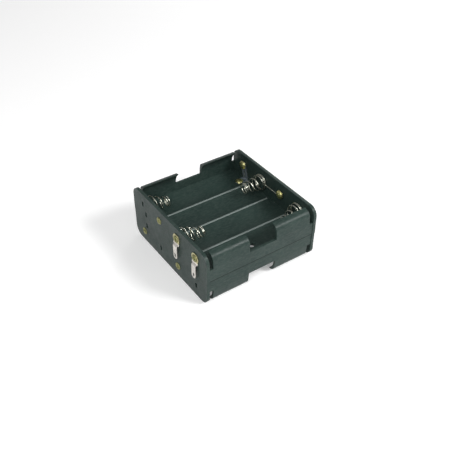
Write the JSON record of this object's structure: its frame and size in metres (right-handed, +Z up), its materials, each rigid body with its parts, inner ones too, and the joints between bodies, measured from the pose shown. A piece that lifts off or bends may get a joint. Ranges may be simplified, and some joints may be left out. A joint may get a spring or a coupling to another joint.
{
  "type": "cylindrical cell holder",
  "caption": "Open double-sided holder for AA cells, back to back on one web, with wire contact springs, riveted contacts and two solder tags.",
  "frame": {"origin": "bottom centre of the bounding box: the plane of the end plates' lower edges, midway across and midway between the outermost metal of the two ends", "axes": "+X along the cells towards the end plate without tags, +Y across the bays towards bay 1, +Z up, out of the top layer"},
  "size_m": [0.0606, 0.0624, 0.0275],
  "materials": {
    "moulding": "dark slate plastic, fine satin mould texture",
    "spring_wire": "nickel-plated spring wire",
    "brass": "plain formed brass",
    "nickel_strip": "nickel-plated strip",
    "tinned_tag": "tin-plated stamping"
  },
  "bodies": {
    "holder": {"holder_body": "moulding", "contact_rivet_top_1": "brass", "contact_rivet_top_3": "brass", "contact_rivet_bottom_2": "brass", "contact_rivet_bottom_4": "brass", "contact_rivet_top_2": "brass", "contact_rivet_bottom_1": "brass", "contact_rivet_bottom_3": "brass", "tag_eyelet_negative": "brass", "tag_eyelet_positive": "brass", "floor_rivet_1": "brass", "floor_rivet_4": "brass", "crossover_strap_1": "nickel_strip", "crossover_strap_4": "nickel_strip", "solder_tag_negative": "tinned_tag", "solder_tag_positive": "tinned_tag"},
    "spring_top_1": {"contact_spring_top_1": "spring_wire"},
    "spring_top_3": {"contact_spring_top_3": "spring_wire"},
    "spring_bottom_2": {"contact_spring_bottom_2": "spring_wire"},
    "spring_bottom_4": {"contact_spring_bottom_4": "spring_wire"},
    "spring_top_2": {"contact_spring_top_2": "spring_wire"},
    "spring_top_4": {"contact_spring_top_4": "spring_wire"},
    "spring_bottom_1": {"contact_spring_bottom_1": "spring_wire"},
    "spring_bottom_3": {"contact_spring_bottom_3": "spring_wire"}
  },
  "joints": [
    {"name": "spring_top_1_compress", "type": "slide", "parent": "holder", "child": "spring_top_1", "axis": [-1, 0, 0], "range_m": [0, 0.0085], "stiffness_N_per_m": 800, "deforming": ["contact_spring_top_1"]},
    {"name": "spring_top_3_compress", "type": "slide", "parent": "holder", "child": "spring_top_3", "axis": [-1, 0, 0], "range_m": [0, 0.0085], "stiffness_N_per_m": 800, "deforming": ["contact_spring_top_3"]},
    {"name": "spring_bottom_2_compress", "type": "slide", "parent": "holder", "child": "spring_bottom_2", "axis": [-1, 0, 0], "range_m": [0, 0.0085], "stiffness_N_per_m": 800, "deforming": ["contact_spring_bottom_2"]},
    {"name": "spring_bottom_4_compress", "type": "slide", "parent": "holder", "child": "spring_bottom_4", "axis": [-1, 0, 0], "range_m": [0, 0.0085], "stiffness_N_per_m": 800, "deforming": ["contact_spring_bottom_4"]},
    {"name": "spring_top_2_compress", "type": "slide", "parent": "holder", "child": "spring_top_2", "axis": [1, 0, 0], "range_m": [0, 0.0085], "stiffness_N_per_m": 800, "deforming": ["contact_spring_top_2"]},
    {"name": "spring_top_4_compress", "type": "slide", "parent": "holder", "child": "spring_top_4", "axis": [1, 0, 0], "range_m": [0, 0.0085], "stiffness_N_per_m": 800, "deforming": ["contact_spring_top_4"]},
    {"name": "spring_bottom_1_compress", "type": "slide", "parent": "holder", "child": "spring_bottom_1", "axis": [1, 0, 0], "range_m": [0, 0.0085], "stiffness_N_per_m": 800, "deforming": ["contact_spring_bottom_1"]},
    {"name": "spring_bottom_3_compress", "type": "slide", "parent": "holder", "child": "spring_bottom_3", "axis": [1, 0, 0], "range_m": [0, 0.0085], "stiffness_N_per_m": 800, "deforming": ["contact_spring_bottom_3"]}
  ]
}
